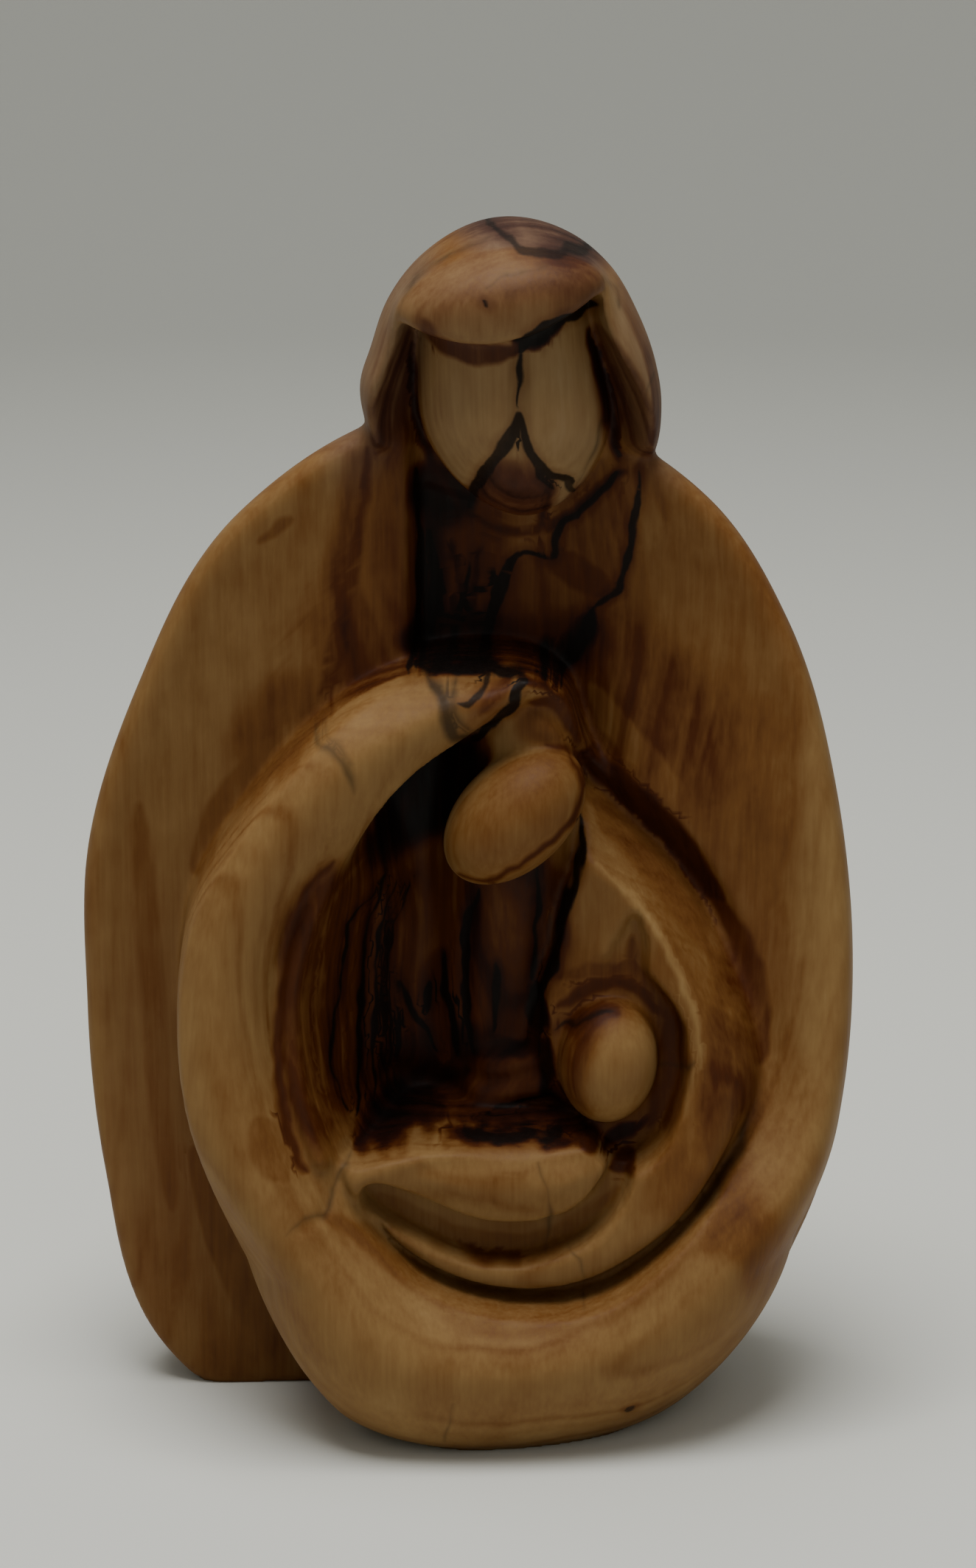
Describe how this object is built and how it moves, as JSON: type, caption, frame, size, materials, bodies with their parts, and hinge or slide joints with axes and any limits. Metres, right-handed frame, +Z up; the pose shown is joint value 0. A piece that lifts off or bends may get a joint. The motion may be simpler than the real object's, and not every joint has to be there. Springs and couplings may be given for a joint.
{
  "type": "carved holy family statue",
  "caption": "Olive wood carving in one block: a hooded figure whose cloak sweeps round a veiled figure holding a child.",
  "frame": {"origin": "centre of the bounding box in plan, on the plane of the sawn base that the carving stands on", "axes": "+Z up to the crown of the hood, -Y out of the carved front, +X to the right of someone looking at the front"},
  "size_m": [0.0774, 0.0448, 0.12],
  "materials": {
    "olive_wood": "sanded smooth and oiled to a satin, with pale sapwood outside and dark veined heartwood in the hollows"
  },
  "bodies": {
    "root": {"holy_family_carving": "olive_wood"}
  },
  "joints": []
}
